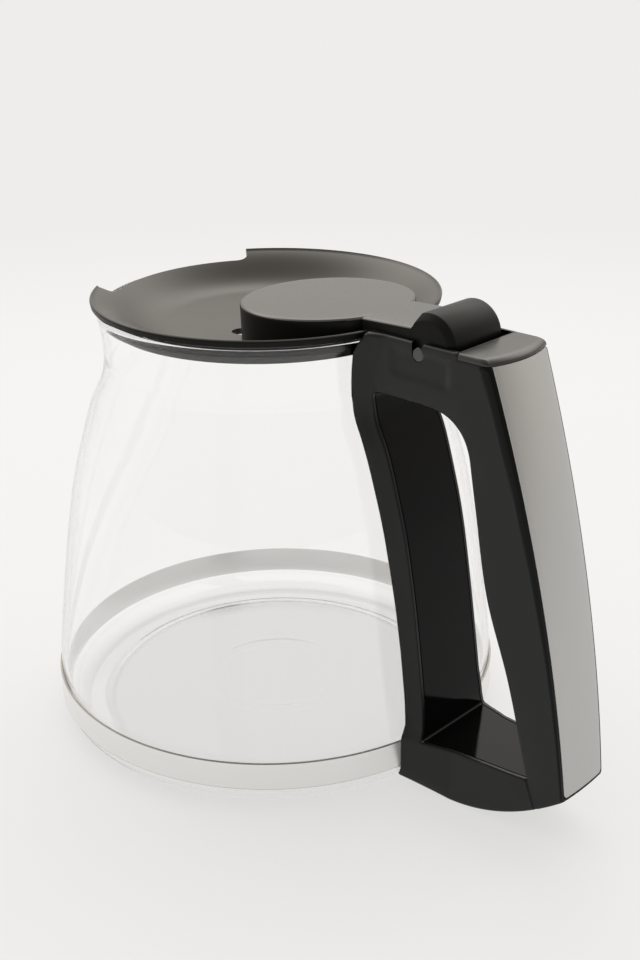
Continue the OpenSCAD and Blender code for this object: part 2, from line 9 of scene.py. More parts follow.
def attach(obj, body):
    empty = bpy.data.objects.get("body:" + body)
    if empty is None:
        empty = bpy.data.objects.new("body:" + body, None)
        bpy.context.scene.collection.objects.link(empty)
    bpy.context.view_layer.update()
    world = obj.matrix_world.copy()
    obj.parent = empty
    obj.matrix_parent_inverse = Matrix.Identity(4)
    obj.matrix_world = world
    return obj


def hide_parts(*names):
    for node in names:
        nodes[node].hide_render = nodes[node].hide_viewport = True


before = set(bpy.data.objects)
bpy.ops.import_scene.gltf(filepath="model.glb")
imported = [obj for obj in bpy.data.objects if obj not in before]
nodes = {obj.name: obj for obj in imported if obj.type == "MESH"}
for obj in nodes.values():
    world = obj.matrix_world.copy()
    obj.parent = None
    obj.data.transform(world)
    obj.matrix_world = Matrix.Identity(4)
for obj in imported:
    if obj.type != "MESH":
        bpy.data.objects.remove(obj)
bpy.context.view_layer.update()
mm = 0.001
print("frame loaded:", len(nodes), "nodes")


# Small helpers: colours, nodes, objects and meshes

def linear(hexColour):
    # sRGB hex to the linear colour that a socket wants
    parts = [int(hexColour[i:i + 2], 16) / 255 for i in (1, 3, 5)]
    return [p / 12.92 if p <= 0.04045 else ((p + 0.055) / 1.055) ** 2.4 for p in parts] + [1.0]


def addNode(tree, kind, inputs=None, **settings):
    # shader nodes go by their kind without ShaderNode; a plain value goes on its socket, and a socket, or a
    # node's first output, is linked to it
    node = tree.nodes.new(kind if "Node" in kind else "ShaderNode" + kind)
    for key, value in settings.items():
        setattr(node, key, value)
    for key, value in (inputs or {}).items():
        if isinstance(value, bpy.types.Node):
            value = value.outputs[0]
        if isinstance(value, bpy.types.NodeSocket):
            tree.links.new(value, node.inputs[key])
        else:
            node.inputs[key].default_value = value
    return node


def newMaterial(name):
    # also its node tree and the object's own coordinates in it
    material = bpy.data.materials.new(name)
    material.use_nodes = True
    tree = material.node_tree
    tree.nodes.clear()
    return material, tree, addNode(tree, "TexCoord").outputs["Object"]


def newObject(name, data):
    obj = bpy.data.objects.new(name, data)
    bpy.context.scene.collection.objects.link(obj)
    return obj


def dress(mesh, *materials):
    # these materials alone, in this order
    mesh.materials.clear()
    for material in materials:
        mesh.materials.append(material)


def newMesh(name, points, faces, *materials):
    # points in mm
    mesh = bpy.data.meshes.new(name)
    mesh.from_pydata([(x * mm, y * mm, z * mm) for x, y, z in points], [], faces)
    dress(mesh, *materials)
    return mesh


def plainMesh(obj, helpers=()):
    # the object's shape with its modifiers done, as a mesh; the object and its helpers go
    made = bpy.data.meshes.new_from_object(obj.evaluated_get(bpy.context.evaluated_depsgraph_get()))
    for spent in (*helpers, obj):
        bpy.data.objects.remove(spent)
    return made


def outwards(mesh, mixed=False):
    # turns the faces of a closed mesh outwards, first all the same way if they are mixed
    work = bmesh.new()
    work.from_mesh(mesh)
    if mixed:
        bmesh.ops.recalc_face_normals(work, faces=work.faces)
    if work.calc_volume(signed=True) < 0:
        bmesh.ops.reverse_faces(work, faces=work.faces)
    work.to_mesh(mesh)
    work.free()
    return mesh


# Curves shared by the pieces, all in mm

def bezier(count, *points):
    # a curve from the first point to the last, drawn towards those between
    out, power = [], len(points) - 1
    for t in (i / count for i in range(count + 1)):
        shares = [comb(power, k) * (1 - t) ** (power - k) * t ** k for k in range(power + 1)]
        out.append(tuple(sum(share * p[axis] for share, p in zip(shares, points)) for axis in (0, 1)))
    return out


def arc(mid, radius, start, end, count):
    turns = [radians(start + (end - start) * i / count) for i in range(count + 1)]
    return [(mid[0] + radius * cos(a), mid[1] + radius * sin(a)) for a in turns]


def circle(mid, radius, count):
    return arc(mid, radius, 0, 360, count)[:-1]


def smoothThrough(points, count):
    # the same smooth curve as the part's own source, through every point
    out = []
    last = len(points) - 1
    for i in range(last):
        a, b, c, d = points[max(i - 1, 0)], points[i], points[i + 1], points[min(i + 2, last)]
        for j in range(count):
            t = j / count
            out.append(tuple(b[k] + t * (c[k] - a[k]) / 2 + t * t * (a[k] - 2.5 * b[k] + 2 * c[k] - d[k] / 2)
                             + t ** 3 * (1.5 * (b[k] - c[k]) + (d[k] - a[k]) / 2) for k in (0, 1)))
    return out + [points[-1]]


def beside(points, distance):
    # points moved to the left of their path
    out = []
    for i, p in enumerate(points):
        a, b = points[max(i - 1, 0)], points[min(i + 1, len(points) - 1)]
        dx, dy = b[0] - a[0], b[1] - a[1]
        size = hypot(dx, dy)
        out.append((p[0] - distance * dy / size, p[1] + distance * dx / size))
    return out


def evened(points, step):
    # the same path with points no further apart than step
    out = [points[0]]
    for a, b in zip(points, points[1:]):
        parts = max(1, ceil(dist(a, b) / step))
        out += [(a[0] + (b[0] - a[0]) * k / parts, a[1] + (b[1] - a[1]) * k / parts) for k in range(1, parts + 1)]
    return out


def rectangle(left, low, right, high):
    return [(left, low), (right, low), (right, high), (left, high)]


def valueAt(pairs, place):
    # in straight lines between (place, value) pairs
    return np.interp(place, *zip(*pairs))


# Camera: fitted to the photograph's rings, band and handle

camera = {
    "place": (296.4, -285.0, 251.0),     # mm in the part's frame
    "forward": (-0.6384, 0.6626, -0.3917),
    "roll": -0.78,                       # degrees
    "lens": 51.39, "sensor": 36,         # mm; the sensor's long side
    "clip": (0.01, 60),                  # m
}


def makeCamera():
    forward = Vector(camera["forward"]).normalized()
    right = forward.cross(Vector((0, 0, 1))).normalized()
    roll = radians(camera["roll"])
    right = cos(roll) * right + sin(roll) * right.cross(forward)
    data = bpy.data.cameras.new("photoCamera")
    data.lens, data.sensor_width = camera["lens"], camera["sensor"]
    data.clip_start, data.clip_end = camera["clip"]
    obj = newObject("photoCamera", data)
    turn = Matrix((right, right.cross(forward), -forward)).transposed().to_4x4()
    obj.matrix_world = Matrix.Translation(Vector(camera["place"]) * mm) @ turn
    bpy.context.scene.camera = obj


makeCamera()
print("camera set")


# Studio: a bright room and one broad softbox over a pale paper floor

studio = {
    "backdrop": "#EEEDEB", "paper": "#E2E3E6", "roomColour": "#FFFBF3",
    "floorRadius": 14000, "floorSides": 96,        # mm
    "floorShade": 0.24,                 # share of the floor's look that takes light and shadow, near the jug
    "floorFade": (0.3, 0.8),            # m from the jug, where that share falls to nothing
    "frontWay": (0.70, -0.71, 0.0),     # towards the camera; spans along it are cosines, upwards they are sines
    "roomBack": 0.85, "roomFront": 0.4, "frontSpan": (-0.1, 0.75),
    "roomTop": 0.7, "topSpan": (0.68, 0.96),
    "roomGlow": 2.2, "glowSpan": (0.22, 0.68), "behindSpan": (0.2, -0.5),      # a bright belt high up behind
    "lampPlace": (-0.75, 0.55, 1.5), "lampAim": (0.02, 0.0, 0.05), "lampSize": (2.0, 1.6),     # m
    "lampWatts": 15.0,
}


def seenBy(tree, *rays):
    # 1 for rays of these kinds and 0 for all others
    path = addNode(tree, "LightPath").outputs
    seen = path[rays[0]]
    for ray in rays[1:]:
        seen = addNode(tree, "Math", {0: seen, 1: path[ray]}, operation="MAXIMUM").outputs[0]
    return seen


def makeRoom():
    world = bpy.data.worlds.new("brightRoom")
    world.use_nodes = True
    tree = world.node_tree
    tree.nodes.clear()
    way = addNode(tree, "TexCoord").outputs["Generated"]
    height = addNode(tree, "SeparateXYZ", {"Vector": way}).outputs["Z"]
    ahead = addNode(tree, "VectorMath", {0: way, 1: studio["frontWay"]}, operation="DOT_PRODUCT")
    ahead = ahead.outputs["Value"]
    levels = []
    for value, (start, end), first, final in (
            (ahead, studio["frontSpan"], studio["roomBack"], studio["roomFront"]),
            (height, studio["topSpan"], 0.0, 1.0),
            (height, studio["glowSpan"], 0.0, 1.0),
            (ahead, studio["behindSpan"], 0.0, studio["roomGlow"])):
        levels.append(addNode(tree, "MapRange", {"Value": value, "From Min": start, "From Max": end,
                              "To Min": first, "To Max": final}, interpolation_type="SMOOTHSTEP"))
    around, above, high, behind = levels
    glow = addNode(tree, "Math", {0: high, 1: behind}, operation="MULTIPLY")
    wall = addNode(tree, "Math", {0: glow, 1: around}, operation="ADD")
    strength = addNode(tree, "Mix", {"Factor": above, 2: wall, 3: studio["roomTop"]})
    room = addNode(tree, "Background", {"Color": linear(studio["roomColour"]), "Strength": strength})
    backdrop = addNode(tree, "Background", {"Color": linear(studio["backdrop"]), "Strength": 1.0})
    seen = seenBy(tree, "Is Camera Ray", "Is Transmission Ray")
    both = addNode(tree, "MixShader", {0: seen, 1: room, 2: backdrop})
    addNode(tree, "OutputWorld", {"Surface": both})
    bpy.context.scene.world = world


def makeFloor():
    # matt paper: near the jug part of its look is light and shadow, further off its own pale colour alone
    paper, tree, place = newMaterial("paperFloor")
    seen = seenBy(tree, "Is Camera Ray", "Is Glossy Ray", "Is Transmission Ray")
    away = addNode(tree, "VectorMath", {0: place}, operation="LENGTH").outputs["Value"]
    near, far = studio["floorFade"]
    plain = addNode(tree, "MapRange", {"Value": away, "From Min": near, "From Max": far,
                    "To Min": 1 - studio["floorShade"], "To Max": 1.0}, interpolation_type="SMOOTHSTEP")
    share = addNode(tree, "Math", {0: seen, 1: plain}, operation="MULTIPLY")
    lit = addNode(tree, "BsdfDiffuse", {"Color": linear(studio["paper"])})
    pale = addNode(tree, "Emission", {"Color": linear(studio["backdrop"]), "Strength": 1.0})
    mix = addNode(tree, "MixShader", {0: share, 1: lit, 2: pale})
    addNode(tree, "OutputMaterial", {"Surface": mix})
    edge = circle((0, 0), studio["floorRadius"], studio["floorSides"])
    floor = newObject("floor", newMesh("floor", [(x, y, 0) for x, y in edge], [list(range(len(edge)))], paper))


def makeLamp():
    lamp = bpy.data.lights.new("topSoftbox", "AREA")
    lamp.shape = "RECTANGLE"
    lamp.size, lamp.size_y = studio["lampSize"]
    lamp.energy = studio["lampWatts"]
    obj = newObject("topSoftbox", lamp)
    obj.visible_glossy = obj.visible_transmission = False      # the room alone is mirrored
    place = Vector(studio["lampPlace"])
    obj.location = place
    obj.rotation_euler = (Vector(studio["lampAim"]) - place).to_track_quat("-Z", "Y").to_euler()


makeRoom()
makeFloor()
makeLamp()
bpy.context.scene.view_settings.view_transform = "Standard"
print("studio set")


# Materials

def clearGlass():
    # Blown borosilicate glass: clear, with a very slight wave about 22 mm long that bends what is behind it
    material, tree, place = newMaterial("blownBorosilicateGlass")
    wave = addNode(tree, "TexNoise", {"Vector": place, "Scale": 45.0, "Detail": 2.0})
    bump = addNode(tree, "Bump", {"Height": wave, "Strength": 0.05, "Distance": 0.0001})
    shader = addNode(tree, "BsdfPrincipled", {"Base Color": linear("#FFFFFF"), "Roughness": 0.0, "IOR": 1.47,
                     "Transmission Weight": 1.0, "Normal": bump})
    addNode(tree, "OutputMaterial", {"Surface": shader})
    return material


def mouldedPlastic(name, colour, roughness, grain, grainDepth, specular, paintedRimShade=False):
    # Injection-moulded plastic: near black, its gloss from the polish of the mould, with a fine spark-eroded
    # grain in mm; the gloss varies a little in patches about 17 mm wide
    material, tree, place = newMaterial(name)
    fine = addNode(tree, "TexNoise", {"Vector": place, "Scale": 1000.0 / grain, "Detail": 3.0})
    broad = addNode(tree, "TexNoise", {"Vector": place, "Scale": 60.0, "Detail": 3.0})
    tone = addNode(tree, "MapRange", {"Value": broad, "To Min": roughness * 0.85, "To Max": roughness * 1.15})
    bump = addNode(tree, "Bump", {"Height": fine, "Strength": 1.0, "Distance": grainDepth * mm})
    shader = addNode(tree, "BsdfPrincipled", {"Base Color": linear(colour), "Roughness": tone,
                     "Specular IOR Level": specular, "Normal": bump})
    if paintedRimShade:
        # painted shade: the rim beside the steel plate takes a deeper black, less reflective and smoother finish that
        # stands in for the shade there
        rim = addNode(tree, "Attribute", attribute_name="rim").outputs["Fac"]
        smooth = addNode(tree, "BsdfPrincipled", {"Base Color": linear("#040404"), "Roughness": 0.22,
                         "Specular IOR Level": 0.16})
        shader = addNode(tree, "MixShader", {0: rim, 1: shader, 2: smooth})
    addNode(tree, "OutputMaterial", {"Surface": shader})
    return material


def linedSteel(name, colour, roughness, scale):
    # Steel with fine lines, drawn out along the way with the lowest scale, that stretch a highlight across them
    material, tree, place = newMaterial(name)
    stretched = addNode(tree, "Mapping", {"Vector": place, "Scale": scale})
    lines = addNode(tree, "TexNoise", {"Vector": stretched, "Scale": 1.0, "Detail": 4.0})
    rough = addNode(tree, "MapRange", {"Value": lines, "To Min": roughness * 0.7, "To Max": roughness * 1.3})
    bump = addNode(tree, "Bump", {"Height": lines, "Strength": 0.25, "Distance": 0.00002})
    shader = addNode(tree, "BsdfPrincipled", {"Base Color": linear(colour), "Metallic": 1.0,
                     "Roughness": rough, "Normal": bump})
    addNode(tree, "OutputMaterial", {"Surface": shader})
    return material


glass = clearGlass()

# colour, roughness, width and depth of the grain in mm, reflectance
handleAbsRimShaded = mouldedPlastic("satinBlackAbsRimShaded", "#0C0D0D", 0.33, 0.35, 0.003, 0.33, paintedRimShade=True)  # even satin, with painted shade on the rim beside the plate
lidAbs = mouldedPlastic("polishedSmokeAbs", "#2A2722", 0.33, 0.5, 0.0006, 0.42)        # soft grey sheen on the dish
capAbs = mouldedPlastic("satinGreyBlackAbs", "#1B1A18", 0.22, 0.35, 0.001, 0.58)       # shinier than the handle
leverAbs = mouldedPlastic("satinSmokeAbs", "#14120F", 0.27, 0.4, 0.0006, 1.0)          # mirrors the room's light
thumbAndShadeAbs = mouldedPlastic("texturedThumbAndPaintedShadeAbs", "#0F0F0E", 0.38, 0.3, 0.003, 0.13)       # coarse grain and darker on the thumb barrel; painted shade on the lever's steep walls and the dish's outer lip
skirtAbs = mouldedPlastic("satinBlackPolypropylene", "#0E0E0E", 0.4, 0.5, 0.002, 0.5)  # waxy and dull
linerAbs = mouldedPlastic("polishedBlackLiner", "#040404", 0.09, 0.5, 0.0006, 0.09)    # deep black, nearly a mirror

# colour, roughness, lines per metre along each axis
plateSteel = linedSteel("brushedStainlessPlate", "#B9B8B6", 0.36, (6000, 6000, 60))    # belt-brushed upwards
cutEdgeAndShadeSteel = linedSteel("cutStainlessEdgeAndPaintedShade", "#A4A29E", 0.5, (900, 900, 900))             # slit edge, dull; also painted shade over the band's rounded edges
bandSteel = linedSteel("rolledStainlessStrip", "#EDECEA", 0.2, (40, 40, 4000))         # rolled, lines run round
screwSteel = linedSteel("zincPlatedScrew", "#B9B8B4", 0.3, (900, 900, 900))            # plated, mottled
print("materials made")


# Making pieces

def pieceFromMesh(name, mesh, body, replaced, smoothAngle):
    mesh.name = name
    obj = newObject(name, mesh)
    mesh.shade_smooth()
    mesh.set_sharp_from_angle(angle=radians(smoothAngle))
    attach(obj, body)
    if replaced:
        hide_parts(*replaced)
    return obj


def latheTree():
    # Geometry Nodes: a grid whose rows take the profile's points and whose columns turn round the Z axis
    tree = bpy.data.node_groups.new("turnedProfile", "GeometryNodeTree")
    tree.interface.new_socket("Geometry", in_out="OUTPUT", socket_type="NodeSocketGeometry")
    for label, kind in (("Geometry", "Geometry"), ("Segments", "Int"), ("Rings", "Int"), ("Start", "Float"),
                        ("Sweep", "Float"), ("Material", "Material")):
        tree.interface.new_socket(label, in_out="INPUT", socket_type="NodeSocket" + kind)
    source = addNode(tree, "NodeGroupInput").outputs
    columns = addNode(tree, "Math", {0: source["Segments"], 1: 1.0}, operation="ADD")
    grid = addNode(tree, "GeometryNodeMeshGrid", {"Vertices X": columns, "Vertices Y": source["Rings"]})
    index = addNode(tree, "GeometryNodeInputIndex")
    row = addNode(tree, "Math", {0: index, 1: source["Rings"]}, operation="MODULO")
    column = addNode(tree, "Math", {0: index, 1: source["Rings"]}, operation="DIVIDE")
    whole = addNode(tree, "Math", {0: column}, operation="FLOOR")
    share = addNode(tree, "Math", {0: whole, 1: source["Segments"]}, operation="DIVIDE")
    angle = addNode(tree, "Math", {0: share, 1: source["Sweep"], 2: source["Start"]},
                    operation="MULTIPLY_ADD")
    place = addNode(tree, "GeometryNodeInputPosition")
    onProfile = addNode(tree, "GeometryNodeSampleIndex", data_type="FLOAT_VECTOR", domain="POINT",
                        inputs={"Geometry": source["Geometry"], "Value": place, "Index": row})
    turn = addNode(tree, "VectorRotate", {"Vector": onProfile, "Angle": angle}, rotation_type="Z_AXIS")
    moved = addNode(tree, "GeometryNodeSetPosition", {"Geometry": grid, "Position": turn})
    merged = addNode(tree, "GeometryNodeMergeByDistance", {"Geometry": moved, "Distance": 0.000002})
    dressed = addNode(tree, "GeometryNodeSetMaterial", {"Geometry": merged, "Material": source["Material"]})
    addNode(tree, "NodeGroupOutput", {"Geometry": dressed})
    return tree


lathe = latheTree()


def turned(name, profile, material, segments, start=0.0, sweep=360.0):
    # profile points [radius, height] in mm, made a plain mesh
    mesh = bpy.data.meshes.new(name + "Profile")
    mesh.from_pydata([(x * mm, 0, z * mm) for x, z in profile], [(i, i + 1) for i in range(len(profile) - 1)], [])
    obj = newObject(name + "Profile", mesh)
    modifier = obj.modifiers.new("turned", "NODES")
    modifier.node_group = lathe
    values = {"Segments": segments, "Rings": len(profile), "Start": radians(start), "Sweep": radians(sweep),
              "Material": material}
    for item in lathe.interface.items_tree:
        if item.in_out == "INPUT" and item.name in values:
            modifier[item.identifier] = values[item.name]
    made = outwards(plainMesh(obj))
    bpy.data.meshes.remove(mesh)
    dress(made, material)
    return made


def prism(points, low, high, axis="Y"):
    # a closed side outline [x, z] between two places on Y, or a plan outline [x, y] between two heights
    count = len(points)
    if axis == "Y":
        verts = [(x, y, z) for y in (low, high) for x, z in points]
    else:
        verts = [(x, y, z) for z in (low, high) for x, y in points]
    faces = [list(range(count)), [count + i for i in range(count)][::-1]]
    faces += [[i, count + i, count + (i + 1) % count, (i + 1) % count] for i in range(count)]
    return outwards(newMesh("cutter", verts, faces), mixed=True)


def skinned(name, rings, material, isOpen=False):
    # rings of points joined by strips and closed at both ends; open rings get one flat face across their ends
    count, total = len(rings[0]), len(rings)
    faces = [[k * count + i, k * count + (i + 1) % count, (k + 1) * count + (i + 1) % count, (k + 1) * count + i]
             for k in range(total - 1) for i in range(count - isOpen)]
    if isOpen:
        faces.append([k * count for k in range(total)] + [k * count + count - 1 for k in reversed(range(total))])
    faces += [list(range(count)), [(total - 1) * count + i for i in range(count)]]
    return outwards(newMesh(name, [point for ring in rings for point in ring], faces, material), mixed=True)


def combined(mesh, others, operation):
    # exact booleans, one after the other, as a plain mesh
    obj = newObject("worked", mesh)
    helpers = []
    for other in others:
        helper = newObject("helper", other)
        helpers.append(helper)
        modifier = obj.modifiers.new("boolean", "BOOLEAN")
        modifier.operation = operation
        modifier.solver = "EXACT"
        modifier.object = helper
    made = plainMesh(obj, helpers)
    # walls that a cutter without a material leaves take the piece's own one
    own = next((i for i, material in enumerate(made.materials) if material), 0)
    for face in made.polygons:
        if face.material_index >= len(made.materials) or made.materials[face.material_index] is None:
            face.material_index = own
    return made


# Glass jug

jug = {
    "height": 136.5, "bellyRadius": 72.3, "neckRadius": 50.8, "neckHeight": 121.0, "rimRadius": 52.2,
    "wall": 1.8, "bead": 1.3, "corner": 8.0, "restOuter": 64.3, "restInner": 59.3, "pushUp": 2.6,
    "mouldRing": (22.0, 3.4, 0.2), "middle": 10,     # radius, half width and height of the mould's mark
    "bandSeat": 17.1,     # height where the side rises from the band
    "sideShares": [(0, 1), (0.07, 0.985), (0.24, 0.88), (0.42, 0.755), (0.61, 0.59), (0.75, 0.41), (0.86, 0.24),
                   (0.94, 0.06), (1, 0)],      # share of the height from band to neck, share of the way out
    "segments": 288,
}


def glassSide():
    # outside of the glass from the base corner up to the bead
    neck, seat, tall = jug["neckRadius"], jug["bandSeat"], jug["neckHeight"]
    knots = [(neck + s * (jug["bellyRadius"] - neck), seat + t * (tall - seat)) for t, s in jug["sideShares"]]
    corner = arc((jug["restOuter"], jug["corner"]), jug["corner"], -90, 0, 20)
    rim = (jug["rimRadius"], jug["height"] - jug["bead"])
    flare = bezier(14, (neck, tall), (neck, (tall + jug["height"]) / 2), rim)
    return corner + smoothThrough(knots, 10) + flare[1:]


def makeGlass():
    foot, up, bead = jug["restInner"], jug["pushUp"], jug["bead"]
    mid, width, deep = jug["mouldRing"]
    ring = [(r, up + deep * (0.5 + 0.5 * cos(pi * (r - mid) / width)))
            for r in (mid + width * k / 6 for k in range(-6, 7))]
    under = [(0, up), (jug["middle"], up)] + ring
    under += bezier(14, (foot - 3 * up, up), (foot - up, up), (foot - up, 0), (foot, 0))
    outside = under + glassSide()
    inside = beside(outside, jug["wall"])[::-1]
    inside[-1] = (0, inside[-1][1])
    top = arc((jug["rimRadius"] - bead, jug["height"] - bead), bead, 0, 180, 14)
    mesh = turned("glassJug", outside[:-1] + top + inside[1:], glass, jug["segments"])
    return pieceFromMesh("glassJug", mesh, "jug", ["glass_body"], 60)


# Steel band round the base

band = {"inner": 72.375, "thickness": 0.6, "low": 7.5, "height": 9.0, "edge": 0.2, "gap": 3.0, "segments": 288,
        "cutAndShadeSlope": 0.12}      # faces that look up or down by more than this take the dull cut edge: the flat slit edges, and as painted shade the rounded edges too


def makeBand():
    a, b, e = band["inner"], band["inner"] + band["thickness"], band["edge"]
    low, high = band["low"], band["low"] + band["height"]
    profile = [(a, low)] + arc((b - e, low + e), e, -90, 0, 4) + [(b, low + (high - low) * k / 6) for k in range(1, 6)]
    profile += arc((b - e, high - e), e, 0, 90, 4) + [(a, high), (a, low)]
    half = degrees(band["gap"] / 2 / b)
    mesh = turned("bellyBand", profile, bandSteel, band["segments"], half, 360 - 2 * half)
    dress(mesh, bandSteel, cutEdgeAndShadeSteel)
    # the flat slit edges are dull cut steel, and as painted shade so are the rounded edges, over their highlight
    for face in mesh.polygons:
        if abs(face.normal.z) > band["cutAndShadeSlope"]:
            face.material_index = 1
    return pieceFromMesh("bellyBand", mesh, "jug", ["base_band"], 30)


# Handle moulding: two domed side faces joined round the outline and the window

handle = {
    "half": 13.5, "heelHalf": 9.9, "topBackHalf": 12.6, "taperFrom": 85.4,
    "top": 140.7, "capHeight": 139.0, "capFront": 85.4, "heel": (124.0, 16.3), "topBack": 95.1,
    "bow": 3.8, "bulge": 2.5, "strip": 4.7, "windowTop": 123.4, "windowFloor": 17.8, "windowRounds": (0.8, 2.4),
    "footLift": 0.8, "footFlat": 86.06, "footTurn": 105.03, "underFront": 3.9,
    "glassGap": 0.4, "earFront": 54.35, "earBevel": 6.48,
    # (height, half width) of the edge that hugs the glass, and (height, how far back it flares)
    "flare": [(0, 16.6), (4, 17.4), (17.4, 17.4), (19, 16.8), (21.5, 15.9), (30, 15.4), (45, 15.1), (60, 15.2),
              (77, 15.6), (107, 15.8), (119, 15.2), (133, 15.7), (137, 15.9), (140.7, 15.0)],
    "flareDeep": [(0, 16), (18, 16), (30, 9), (60, 7)], "flareSoft": (30, 10),
    "gripShares": [(0.735, 0.785), (0.754, 0.687), (0.79, 0.514), (0.855, 0.34), (0.914, 0.134)],
    "archShares": (0.598, 0.709), "gripShift": -1.2, "gripFrom": [(0, 200), (17.8, 78), (60, 78), (123, 56)],
    # how deep an edge is rounded off on the side face, and by how much
    "backRound": (2.8, 0.9), "lowEdge": (0.8, 0.4), "topEdge": (0.9, 0.9), "frontEdge": 0.5, "windowEdge": 0.5,
    "crown": 0.35, "crownWidth": 7.5,
    "panelX": (61.5, 83.5), "panelZ": (128.0, 139.0), "panelAway": 5.5, "panelSoft": 2.5, "panelDepth": 0.45,
    "seamLow": (115.4, 10.4), "seamPast": 0.35, "seamWidth": 0.45, "seamDepth": 0.5,
    "linerEdge": [(0.3, 0), (0.75, 0), (0.8, -0.3), (1.15, -0.3), (1.2, 0)],     # a groove round the window's liner
    # painted shade on the rim beside the plate: (height, width), softness, span and how deep it goes on the walls
    "rimWidths": [(10, 0.0), (17, 0.4), (60, 0.8), (100, 1.7), (139, 2.7)],
    "rimSoft": 0.35, "rimSpan": (17, 139), "rimWall": 1.5,
}
# spacing of the side face's points: along its edges, inside them, in between and along the parting line
sheet = {
    "step": 0.8, "edgeRings": (0.06, 0.16, 0.3, 0.5, 0.75, 1.05, 1.45, 1.95, 2.6, 3.3, 4.1),
    "grid": 1.1, "gridFrom": 4.5, "gridBox": (40, 130, 142),
    "seamRings": (-0.45, -0.3, -0.15, 0, 0.15, 0.3, 0.45), "seamStep": 0.5,
}
# the steel plate, and how much deeper its bed is
plate = {
    "low": 17.2, "top": 138.85, "rim": 0.6, "gap": 0.2, "thickness": 0.8, "proud": 0.25, "bed": 0.1,
    "corner": 1.3, "soft": 0.16, "lowRows": (0, 0.08, 0.16, 0.35, 0.6, 0.9), "rows": 150,
}


def fall(z):
    # share of the way from the top of the back down to the heel
    return (handle["capHeight"] - z) / (handle["capHeight"] - handle["heel"][1])


def backX(z):
    s = fall(z)
    return handle["topBack"] + s * (handle["heel"][0] - handle["topBack"]) + 4 * handle["bow"] * s * (1 - s)


def backHalf(z):
    return handle["topBackHalf"] + fall(z) * (handle["heelHalf"] - handle["topBackHalf"])


def bulge(z, y):
    # how far the back stands out past its edges
    return handle["bulge"] * (1 - fall(z) * 5 / 6) * (1 - (y / backHalf(z)) ** 2)


def smoothStep(t):
    t = np.clip(t, 0, 1)
    return t * t * (3 - 2 * t)


def gripLine():
    # a little nearer the glass than the rounded edge needs
    knots = [(across * handle["heel"][0], up * handle["top"]) for across, up in handle["gripShares"]]
    return [(x + handle["gripShift"], z) for x, z in smoothThrough(knots, 12)]


def seamLine():
    # the parting line runs from the window's lowest back corner past the foot's edge
    top, low = np.array(gripLine()[-1]), np.array(handle["seamLow"])
    return top, low + (low - top) * handle["seamPast"]


glassByHeight = [(z, r) for r, z in glassSide()]


def joined(parts):
    # one closed path from (kind of edge, path) parts, with every point's kind
    points, kinds = [], []
    for kind, path in parts:
        path = evened(path, sheet["step"])
        points += path[:-1]
        kinds += [kind] * (len(path) - 1)
    return points, kinds


def handleOutlines():
    # the outer outline, counter-clockwise, and the window's
    h = handle
    low, top, capHeight, heel = h["footLift"], h["top"], h["capHeight"], h["heel"]

    def front(z):
        r = float(valueAt(glassByHeight, z)) + h["glassGap"]
        half = float(valueAt(h["flare"], z)) - h["frontEdge"]
        return sqrt(r * r - half * half), z
    bottom = [front(h["underFront"])] + bezier(30, (h["footFlat"], low), (h["footTurn"], low), heel)
    back = [(backX(z), z) for z in (heel[1] + (capHeight - heel[1]) * k / 60 for k in range(61))]
    crest = [(h["topBack"], capHeight), (h["capFront"], capHeight), (h["capFront"], top), (h["earFront"], top)]
    strip = [(h["earFront"], top)] + [front(z) for z in np.linspace(top - h["earBevel"], h["underFront"], 90)]

    grip = gripLine()
    arch = bezier(24, *((share * heel[0], h["windowTop"]) for share in h["archShares"]), grip[0])
    r, rTop = h["windowRounds"]
    heights = np.linspace(h["windowFloor"] + r, h["windowTop"] - rTop, 70)
    liner = [(float(valueAt(glassByHeight, z)) + h["strip"], float(z)) for z in heights]
    (x, z), (xTop, zTop) = (liner[0][0], h["windowFloor"]), (liner[-1][0], h["windowTop"])
    sill = bezier(8, (x, z + r), (x, z), (x + r, z)) + [grip[-1]]
    corner = bezier(8, (xTop + rTop, zTop), (xTop, zTop), (xTop, zTop - rTop))
    roof = arch[::-1] + corner + liner[-2::-1]
    return (joined((("bottom", bottom), ("back", back), ("top", crest), ("front", strip))),
            joined((("sill", sill), ("grip", grip[::-1]), ("roof", roof))))


def toSegments(points, starts, ends):
    # least distance of every point to a set of segments
    best = np.full(len(points), 1e9)
    for a, b in zip(starts, ends):
        d = b - a
        t = np.clip(((points - a) @ d) / max(d @ d, 1e-12), 0, 1)
        best = np.minimum(best, np.hypot(*(points - a - t[:, None] * d).T))
    return best


def roundOff(distance, deep, drop):
    # how far a side face drops within deep of its edge, as a quarter of an ellipse
    t = np.clip(1 - distance / deep, 0, 1)
    return drop * (1 - np.sqrt(np.clip(1 - t * t, 0, 1)))


